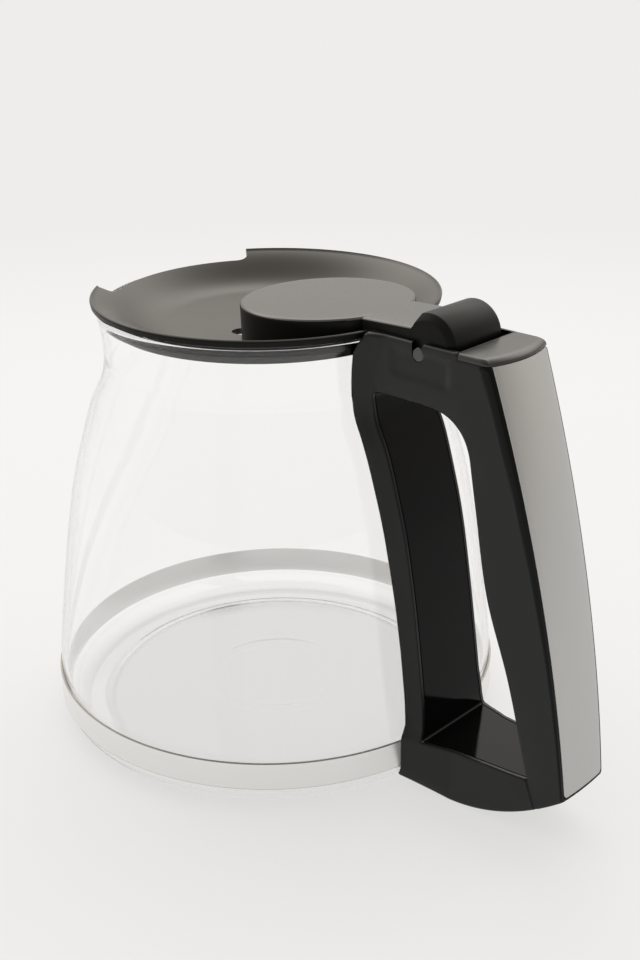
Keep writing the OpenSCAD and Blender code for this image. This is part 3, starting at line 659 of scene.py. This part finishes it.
def handleSheet(outer, window):
    # the side face seen square on, as triangles; its points crowd at the edges and at the parting line.
    # Also tells which point each point of the two outlines became
    loops = [(np.array(outer), 1), (np.array(window), -1)]
    starts = np.concatenate([loop for loop, side in loops])
    ends = np.concatenate([np.roll(loop, -1, 0) for loop, side in loops])
    points = []
    for loop, side in loops:
        along = np.roll(loop, -1, 0) - np.roll(loop, 1, 0)
        along /= np.hypot(*along.T)[:, None]
        inward = np.stack([-along[:, 1], along[:, 0]], 1) * side
        for distance in sheet["edgeRings"]:
            ring = loop + inward * distance
            points += [tuple(p) for p in ring[toSegments(ring, starts, ends) > distance * 0.93]]
    (left, right, high), grid = sheet["gridBox"], sheet["grid"]
    # a lattice of even triangles
    xs = np.arange(left, right, grid)
    zs = np.arange(0, high, grid * 0.866)
    lattice = np.array([(x + (grid / 2 if j % 2 else 0), z) for j, z in enumerate(zs) for x in xs])
    seamTop, seamEnd = seamLine()
    free = toSegments(lattice, starts, ends) > sheet["gridFrom"]
    clear = toSegments(lattice, [seamTop], [seamEnd]) > 2 * handle["seamWidth"]
    points += [tuple(p) for p in lattice[free & clear]]
    length = np.hypot(*(seamEnd - seamTop))
    along = (seamEnd - seamTop) / length
    across = np.array([-along[1], along[0]])
    for shift in sheet["seamRings"]:
        places = np.arange(0.3, float(length), sheet["seamStep"])
        line = np.array([seamTop + along * t + across * shift for t in places])
        points += [tuple(p) for p in line[toSegments(line, starts, ends) > 2 * sheet["edgeRings"][0]]]

    coords = [Vector(p) for p in outer + window + points]
    bounds = [list(range(len(outer))), [len(outer) + i for i in range(len(window))]]
    verts, edges, triangles, fromPoints, fromEdges, fromFaces = delaunay_2d_cdt(coords, [], bounds, 1, 1e-5)
    triangles = [t for t, inside in zip(triangles, fromFaces) if 0 in inside and 1 not in inside]
    used = sorted({i for t in triangles for i in t})
    renumber = {old: new for new, old in enumerate(used)}
    flat = np.array([(verts[i].x, verts[i].y) for i in used])
    given = {source: renumber[i] for i, sources in enumerate(fromPoints) if i in renumber for source in sources}
    return flat, [[renumber[i] for i in t] for t in triangles], given


def handleDepth(flat, outer, kinds, window, windowKinds):
    # half width of the handle at every point of the side face, and the share of painted shade on the rim there
    h = handle
    x, z = flat[:, 0], flat[:, 1]

    def away(loop, kindList, *wanted):
        pick = [i for i, kind in enumerate(kindList) if kind in wanted]
        return toSegments(flat, np.array(loop)[pick], np.roll(loop, -1, 0)[pick])
    fromBack, fromTop, fromFront, fromFoot = (away(outer, kinds, kind) for kind in ("back", "top", "front", "bottom"))
    fromWindow = away(window, windowKinds, "sill", "grip", "roof")
    fromGrip = away(window, windowKinds, "grip", "roof")
    fromSeam = toSegments(flat, *([end] for end in seamLine()))

    crown = h["crown"] * np.clip(1 - fromGrip / h["crownWidth"], 0, 1) ** 2 * (x > valueAt(h["gripFrom"], z))
    panel = 1.0
    for value, (low, high) in ((x, h["panelX"]), (z, h["panelZ"])):
        panel = panel * np.clip((value - low) / h["panelSoft"], 0, 1) * np.clip((high - value) / h["panelSoft"], 0, 1)
    panel = panel * np.clip((fromGrip - h["panelAway"]) / h["panelSoft"], 0, 1)
    panel = h["panelDepth"] * panel * panel * (3 - 2 * panel)
    seam = h["seamDepth"] * np.clip(1 - (fromSeam / h["seamWidth"]) ** 2, 0, 1)

    down = np.clip(fall(z), 0, 1)
    deep, drop = (size * (1 - down / 2) for size in h["backRound"])
    backEdge = np.clip(backHalf(z), h["heelHalf"], h["topBackHalf"])
    back = backX(np.clip(z, h["heel"][1], h["capHeight"]))
    along = (x - h["taperFrom"]) / (back - deep - h["taperFrom"])
    taper = (h["half"] - backEdge - drop) * np.clip(along, 0, 1)
    nearFront = np.clip(1 - fromFront / valueAt(h["flareDeep"], z), 0, 1)
    level, over = h["flareSoft"]
    straight = np.clip((level - z) / over, 0, 1)
    flare = (valueAt(h["flare"], z) - h["half"]) * (straight * nearFront + (1 - straight) * smoothStep(nearFront))

    depth = h["half"] - taper + flare - roundOff(fromBack, deep, drop)
    for distance, (deep, drop) in ((fromTop, h["topEdge"]), (fromFront, [h["frontEdge"]] * 2), (fromFoot, h["lowEdge"]),
                                   (fromWindow, [h["windowEdge"]] * 2)):
        depth = depth - roundOff(distance, deep, drop)
    # painted shade: how much of the darker rim finish each point takes, within the listed width of the back edge
    rim = np.clip((valueAt(h["rimWidths"], z) - fromBack) / h["rimSoft"] + 0.5, 0, 1)
    return depth - crown - panel - seam, rim


def acrossWall(x, z, y, normal, kind):
    # points across the handle at one place of an outline, y to either side; normal points out of the solid
    if kind == "back":
        w = backHalf(z) - plate["rim"]
        seat = plate["proud"] - plate["thickness"] - plate["bed"] if z > plate["low"] - plate["gap"] else 0
        steps = [(y - (y - w) * 0.4, 0), (y - (y - w) * 0.8, 0), (w + 0.03, 0)]
        steps += [(w * t, seat) for t in (1, 0.75, 0.5, 0.25, 0)]
        steps = [(a, out + bulge(z, a)) for a, out in steps]
    elif kind in ("sill", "grip", "roof"):
        steps = [(y - inset, out) for inset, out in handle["linerEdge"]] + [(y * t, 0) for t in (0.75, 0.4, 0)]
    else:
        steps = [(y * t, 0) for t in (0.95, 0.85, 0.7, 0.55, 0.4, 0.27, 0.13, 0)]
    steps += [(-a, out) for a, out in steps[-2::-1]]
    if kind == "front":
        radius = hypot(x, y)
        return [(sqrt(max(radius * radius - a * a, 0)), -a, z) for a, out in steps]
    return [(x + normal[0] * out, -a, z + normal[1] * out) for a, out in steps]


def makeHandleMesh():
    (outer, kinds), (window, windowKinds) = handleOutlines()
    flat, triangles, given = handleSheet(outer, window)
    depth, rim = handleDepth(flat, outer, kinds, window, windowKinds)
    count = len(flat)
    verts = [(x, -y, z) for (x, z), y in zip(flat, depth)] + [(x, y, z) for (x, z), y in zip(flat, depth)]
    faces = triangles + [[count + i for i in t[::-1]] for t in triangles]
    slots = [0] * len(faces)
    for loop, kindList, offset, side in ((outer, kinds, 0, 1), (window, windowKinds, len(outer), -1)):
        columns = []
        for k, (x, z) in enumerate(loop):
            i = given[k + offset]
            before, after = loop[k - 1], loop[(k + 1) % len(loop)]
            dx, dz = after[0] - before[0], after[1] - before[1]
            size = side * hypot(dx, dz)
            column = acrossWall(x, z, depth[i], (dz / size, -dx / size), kindList[k])
            columns.append([i] + list(range(len(verts), len(verts) + len(column))) + [i + count])
            verts += column
        for a, b in zip(columns, columns[1:] + columns[:1]):
            for j in range(len(a) - 1):
                face = [a[j], a[j + 1], b[j + 1], b[j]]
                faces.append(face[::-side])
                # the window's walls between their two grooves are the glossy liner
                slots.append(int(side < 0 and 4 < j < len(a) - 6))
    mesh = newMesh("handleMoulding", verts, faces, handleAbsRimShaded, linerAbs)
    mesh.polygons.foreach_set("material_index", slots)
    # the rim attribute carries the painted shade beside the plate, on the side faces and on the back walls near it
    span, deep = handle["rimSpan"], handle["rimWall"]
    walls = [float(x > backX(np.clip(z, *span)) - deep) for x, y, z in verts[2 * count:]]
    mesh.attributes.new("rim", "FLOAT", "POINT").data.foreach_set("value", np.concatenate([rim, rim, walls]))
    return outwards(mesh)


# how far the cutters reach past the plastic
past = {"side": 20, "above": 143, "front": 40}
hinge = {
    "x": 71.5, "z": 137.3, "pivot": 4.0, "play": 0.06, "knuckle": 5.2, "gap": 0.3, "armLow": 138.9,
    "pocketHalf": 11.9, "pocketBack": 85.1, "pocketFloor": 128.0, "swing": 12.8,     # room for the thumb barrel
    "throat": 0.43, "mouth": 0.7, "mouthTop": 142,     # half widths of the pivot's way in, in pivots
}


def hingeCutters():
    h, above = hinge, past["above"]
    x, z, half, back = h["x"], h["z"], h["pocketHalf"], h["pocketBack"]
    slot = prism(rectangle(past["front"], h["armLow"] - h["gap"], back, above), -half, half)
    room = prism(circle((x, z), h["knuckle"] + h["gap"], 64), -half, half)
    path = [(min(a, back), b) for a, b in arc((x, z), h["swing"], -50, 0, 24)]
    swing = prism([(x, above), (x, h["pocketFloor"])] + path + [(back, above)], -half, half)
    r = h["pivot"] / 2 + h["play"]
    throat, mouth = h["pivot"] * h["throat"], h["pivot"] * h["mouth"]
    side = degrees(acos(throat / r))
    throatTop = (z + h["pivot"] / 2 + handle["top"]) / 2
    key = arc((x, z), r, 180 - side, 360 + side, 48)
    key += [(x + throat, throatTop), (x + mouth, h["mouthTop"]), (x - mouth, h["mouthTop"]), (x - throat, throatTop)]
    return [slot, room, swing, prism(key, -past["side"], past["side"])]


def makeHandle():
    mesh = combined(makeHandleMesh(), hingeCutters(), "DIFFERENCE")
    return pieceFromMesh("handleMoulding", mesh, "jug", ["handle_frame", "grip_shell"], 32)


# Steel back plate, bowed and bulged like the back that it lies in

def makePlate():
    low, corner, soft, outer = plate["low"], plate["corner"], plate["soft"], plate["proud"]
    inner = outer - plate["thickness"]
    heights = [low + up for up in plate["lowRows"]] + list(np.linspace(low + corner, plate["top"], plate["rows"]))
    rings = []
    for z in heights:
        half = backHalf(z) - plate["rim"] - plate["gap"]
        drop = max(0.0, corner - (z - low))
        half -= corner - sqrt(max(corner ** 2 - drop ** 2, 0))
        lift = outer - soft * (1 - sqrt(max(0.0, 1 - max(0.0, 1 - (z - low) / soft) ** 2)))
        top = [(half, inner)] + arc((half - soft, lift - soft), soft, 0, 90, 3)
        top += [((half - soft) * t, lift) for t in (0.85, 0.7, 0.55, 0.4, 0.25, 0.12)]
        under = [(half * t, inner) for t in (-0.6, -0.2, 0.2, 0.6)]
        ring = top + [(0, lift)] + [(-y, out) for y, out in top[::-1]] + under
        rings.append([(backX(z) + bulge(z, y) + out, y, z) for y, out in ring])
    mesh = skinned("backPlate", rings, plateSteel)
    return pieceFromMesh("backPlate", mesh, "jug", ["trim_plate"], 40)


# Cap over the grip: its outline drawn in as the edge rounds over

cap = {"round": (2.9, 1.7), "sideRound": 0.95, "sidePower": 1.4, "rings": 14, "inside": 0.02, "topShares": (0.5, 0.2)}


def capOutline():
    z, deep = handle["capHeight"], handle["topBack"] - handle["capFront"]
    rx, ry = handle["backRound"]
    half, front = backHalf(z), handle["half"] - cap["inside"]
    right = [(deep + bulge(z, half * k / 16), half * k / 16) for k in range(16)]
    right += [(deep - rx + rx * x, half + ry * y) for x, y in arc((0, 0), 1, 0, 90, 10)]
    right += [((deep - rx) * t, front + (half + ry - front) * t) for t in (0.75, 0.5, 0.25, 0)]
    return [(x, -y) for x, y in right[:0:-1]] + right


def makeCap():
    outline, start = capOutline(), handle["capFront"]
    drawIn, rise = cap["round"]
    rings = []
    for k in range(cap["rings"] + 1):
        a = radians(90 * k / cap["rings"])
        share = 1 - drawIn * (1 - cos(a)) / (handle["topBack"] - start + handle["bulge"])
        narrow = 1 - cap["sideRound"] * (1 - cos(a)) ** cap["sidePower"] / handle["half"]
        rings.append([(start + share * x, narrow * y, handle["capHeight"] + rise * sin(a)) for x, y in outline])
    edge = rings[-1]
    rings += [[(start + share * (x - start), share * y, z) for x, y, z in edge] for share in cap["topShares"]]
    mesh = skinned("gripCap", rings, capAbs, isOpen=True)
    return pieceFromMesh("gripCap", mesh, "jug", ["top_cap"], 40)


# Hook of the handle over the glass rim

hook = {"x": 48.06, "thickness": 1.1, "half": 5.0, "low": 133.3, "high": 138.0, "reach": 55.95,
        "edge": 0.3, "edgeSegments": 3}


def makeHook():
    x, thick, low, high, reach = (hook[key] for key in ("x", "thickness", "low", "high", "reach"))
    outline = [(x, low), (x + thick, low), (x + thick, high - thick), (reach, high - thick), (reach, high), (x, high)]
    obj = newObject("worked", prism(outline, -hook["half"], hook["half"]))
    bevel = obj.modifiers.new("bevel", "BEVEL")
    bevel.width, bevel.segments = hook["edge"] * mm, hook["edgeSegments"]
    mesh = plainMesh(obj)
    dress(mesh, handleAbsRimShaded)
    return pieceFromMesh("rimHook", mesh, "jug", None, 30)


# Lid: dish, skirt and lever

lid = {
    "rim": 53.9, "height": 140.1, "depth": 9.1, "wall": 1.8, "floor": 12, "ease": 16.0, "turn": 4.7, "lipRound": 0.7,
    "skirtOuter": 47.5, "skirtInner": 45.7, "skirtLow": 131.8, "skirtTall": 2.6, "skirtEdge": 0.35,
    "pourRadius": 48.0, "pourAngle": 36.8, "pourRound": 3.0, "hubRadius": 26.0, "hubX": 26.0,
    "drainAngle": 35.0, "drainRadius": 3.3, "hookRoom": (47.56, 5.5, 138.55), "armRoom": (138.75, 11.75),
    "rise": (1.8, 0.32),     # mm inside the skirt's inner wall, and depths below the top
    "past": 60, "under": 126,     # where the cutters end
    "steep": 0.5, "segments": 288,     # faces that look up less than this take the dark thumb finish as painted shade
}


def dishTop():
    low, edge = lid["height"] - lid["depth"], lid["skirtInner"]
    side = bezier(30, (edge - lid["ease"], low), (edge - lid["turn"], low),
                  (edge - lid["rise"][0], lid["height"] - lid["depth"] * lid["rise"][1]), (lid["rim"], lid["height"]))
    return [(0, low), (lid["floor"], low)] + side


def pourCutter():
    # the pouring gap: an arc inside the rim with rounded ends
    pour, angle, soft = lid["pourRadius"], lid["pourAngle"], lid["pourRound"]

    def at(radius, turn):
        return -radius * cos(radians(turn)), radius * sin(radians(turn))
    swing = degrees(atan(1.5 * soft / pour))
    inner = [at(pour, -angle + swing + (2 * angle - 2 * swing) * i / 60) for i in range(61)]
    first = bezier(10, at(pour + soft, -angle), at(pour, -angle), inner[0])
    final = bezier(10, inner[-1], at(pour, angle), at(pour + soft, angle))
    wide = [at(lid["past"] + 2, angle * (1 - k / 8)) for k in range(17)]
    return prism(first + inner[1:-1] + final + wide, lid["under"] + 2, past["above"], "Z")


def makeDish():
    top = dishTop()
    under = beside(top, -lid["wall"])
    under[0] = (0, under[0][1])
    r, edge, height = lid["lipRound"], lid["rim"], lid["height"]
    lip = arc((edge - r, height - r * 0.8), r, 80, -20, 8)
    profile = top[:-1] + lip + [(edge - 0.2, height - lid["wall"])] + under[-2::-1]
    mesh = turned("lidDish", profile, lidAbs, lid["segments"])
    hookX, hookHalf, hookHigh = lid["hookRoom"]
    room = prism(rectangle(hookX, -hookHalf, lid["past"], hookHalf), lid["under"], hookHigh, "Z")
    armLow, armHalf = lid["armRoom"]
    arm = prism(rectangle(hookX, -armHalf, lid["past"], armHalf), armLow, past["above"], "Z")
    drains = []
    for side in (-1, 1):
        a = radians(lid["drainAngle"])
        mid = (lid["hubX"] - lid["hubRadius"] * cos(a), side * lid["hubRadius"] * sin(a))
        drains.append(prism(circle(mid, lid["drainRadius"], 48), lid["under"] - 1, lid["under"] + 8, "Z"))
    mesh = combined(mesh, [pourCutter(), room, arm] + drains, "DIFFERENCE")
    # painted shade: the lip's outer face takes the dark thumb finish, standing in for the shade on it
    mesh.materials.append(thumbAndShadeAbs)
    for face in mesh.polygons:
        (x, y, z), normal = face.center / mm, face.normal
        if hypot(x, y) > edge - r and x * normal.x + y * normal.y > 0 and normal.z < lid["steep"]:
            face.material_index = 1
    return pieceFromMesh("lidDish", mesh, "lid", ["lid_dish"], 35)


def makeSkirt():
    a, b, low, r = lid["skirtInner"], lid["skirtOuter"], lid["skirtLow"], lid["skirtEdge"]
    high = low + lid["skirtTall"]
    profile = []
    for x, z, start in ((a + r, high - r, 90), (a + r, low + r, 180), (b - r, low + r, 270), (b - r, high - r, 0)):
        profile += arc((x, z), r, start, start + 90, 5)
    mesh = turned("lidSkirt", profile + [profile[0]], skirtAbs, lid["segments"])
    return pieceFromMesh("lidSkirt", mesh, "lid", ["lid_skirt"], 35)


lever = {
    "hubTop": 142.3, "slope": 2.3, "wall": 2.0, "hubDeep": 27.3, "hubEdge": 1.1,
    "armHalf": 11.6, "armEdge": 0.9, "armBack": 3.9, "knuckleEdge": 0.35, "pivotHalf": 13.02, "pivotEdge": 0.3,
    "thumbRadius": 8.9, "thumbShift": (1.78, 2.4), "thumbHalf": 11.6, "thumbChamfer": 1.7, "thumbEdge": 0.5,
    "thumbCut": (0.84, 0.22),     # where the barrel's front starts and what it leans to, in radii
    "thumbFoot": 4.6, "touch": 0.05,     # up to there the front has the arm's finish; play when telling faces apart
    "seatGap": 0.075, "seatLow": 60, "past": (124, 100), "segments": 256,
}


def drum(name, radius, half, chamfer, edge, segments, x, z):
    # a cylinder on its side, its ends chamfered or only rounded
    if chamfer:
        flat = radius - chamfer
        end = [(flat - edge, -half), (flat - edge * 0.4142, -half + edge * 0.17), (flat, -half + edge * 0.3),
               (radius - edge * 0.7, -half + chamfer - edge * 0.3), (radius - edge * 0.2, -half + chamfer),
               (radius, -half + chamfer + edge)]
    else:
        end = arc((radius - edge, -half + edge), edge, -90, 0, 6)
    end = [(0, -half)] + end
    mesh = turned(name, end + [(r, -h) for r, h in end[::-1]], leverAbs, segments)
    mesh.transform(Matrix.Translation((x * mm, 0, z * mm)) @ Matrix.Rotation(radians(90), 4, "X"))
    return mesh


def leverCutters():
    # room under the arm and over the handle's hook, the dish that the hub stands in, and its two drains
    v, r, low = lever, lid["hubRadius"], lid["height"] - lid["depth"]
    (back, bottom), inner = v["past"], lid["hubX"] + r - v["wall"]
    below = prism(rectangle(inner, bottom, back, hinge["armLow"]), -past["side"], past["side"])
    hookX, hookHalf, hookHigh = lid["hookRoom"]
    room = prism(rectangle(hookX, -hookHalf, hinge["x"], hookHalf), lid["under"], hookHigh, "Z")
    profile = [(x, z + v["seatGap"]) for x, z in dishTop()] + [(lid["rim"] + 1, v["seatLow"]), (0, v["seatLow"])]
    cutters = [below, room, turned("leverSeat", profile, leverAbs, v["segments"])]
    for side in (-1, 1):
        a, d = radians(180 + side * lid["drainAngle"]), lid["drainRadius"]
        plan = [(lid["hubX"] + u * cos(a) - w * sin(a), u * sin(a) + w * cos(a))
                for u, w in rectangle(0, -d, r + 0.1, d)]
        cutters.append(prism(plan, low - 0.1, low + d * 0.8, "Z"))
    return cutters


def makeLever():
    v, r, wall = lever, lid["hubRadius"], lever["wall"]
    e = v["hubEdge"]
    profile = [(0, 0)] + [(r * k / 12, 0) for k in range(1, 11)] + arc((r - e, -e), e, 90, 0, 8)
    profile += [(r, -v["hubDeep"]), (r - wall, -v["hubDeep"]), (r - wall, -wall), (0, -wall)]
    hub = turned("leverHub", profile, leverAbs, v["segments"])
    half, e = v["armHalf"], v["armEdge"]
    section = [(-half, -3 * wall), (half, -3 * wall)]
    section += arc((half - e, -e), e, 0, 90, 6) + arc((e - half, -e), e, 90, 180, 6)
    arm = prism(section, r - wall, hinge["x"] - lid["hubX"] - v["armBack"])
    arm.transform(Matrix.Rotation(radians(-90), 4, "Z"))
    tilt = Matrix.Rotation(radians(-v["slope"]), 4, "Y")
    for mesh in (hub, arm):
        mesh.transform(Matrix.Translation((lid["hubX"] * mm, 0, v["hubTop"] * mm)) @ tilt)

    tx, tz, tr = hinge["x"] + v["thumbShift"][0], hinge["z"] + v["thumbShift"][1], v["thumbRadius"]
    thumb = drum("leverThumb", tr, v["thumbHalf"], v["thumbChamfer"], v["thumbEdge"], 128, tx, tz)
    front, lean, far, side = tx - tr * v["thumbCut"][0], tx + tr * v["thumbCut"][1], 2 * tr, past["side"]
    keep = prism([(front, tz), (tx + far, tz), (tx + far, tz + far), (lean, tz + far)], -side, side)
    mesh = combined(hub, [arm, combined(thumb, [keep], "INTERSECT")], "UNION")
    mesh = combined(mesh, leverCutters(), "DIFFERENCE")
    knuckle = drum("leverKnuckle", hinge["knuckle"], half, 0, v["knuckleEdge"], 96, hinge["x"], hinge["z"])
    pivots = drum("leverPivots", hinge["pivot"] / 2, v["pivotHalf"], 0, v["pivotEdge"], 64, hinge["x"], hinge["z"])
    mesh = combined(mesh, [knuckle, pivots], "UNION")

    # the thumb barrel is darker with a coarse grain; the steep walls of hub and arm take the same finish as painted
    # shade; the tops and the pivots are polished
    dress(mesh, leverAbs, thumbAndShadeAbs)
    near = v["touch"]
    for face in mesh.polygons:
        x, y, z = face.center / mm
        onBarrel = hypot(x - tx, z - tz) < tr + near and abs(y) < half + near
        onBarrel = onBarrel and x > front - near and z > hinge["z"]
        onArm = x < hinge["x"] - v["armBack"] + 2 * near and z < tz + v["thumbFoot"]
        steep = abs(face.normal.z) < lid["steep"] and x < hinge["x"] - hinge["knuckle"]
        face.material_index = int(onBarrel and not onArm or steep)
    return pieceFromMesh("lidLever", mesh, "lid", ["lid_lever"], 32)


# All pieces

for make in (makeGlass, makeBand, makeHandle, makePlate, makeCap, makeHook, makeDish, makeSkirt, makeLever):
    piece = make()
    print(piece.name, "made:", len(piece.data.polygons), "faces")


# CAD nodes: those that no piece replaces show these materials

paint = {
    "glass_body": glass, "base_band": bandSteel, "band_screw": screwSteel, "band_nut": screwSteel,
    "handle_frame": handleAbsRimShaded, "grip_shell": handleAbsRimShaded, "grip_screw": screwSteel, "trim_plate": plateSteel,
    "top_cap": handleAbsRimShaded, "lid_dish": lidAbs, "lid_skirt": skirtAbs, "lid_lever": lidAbs,
}
for name, material in paint.items():
    dress(nodes[name].data, material)
print("materials set")
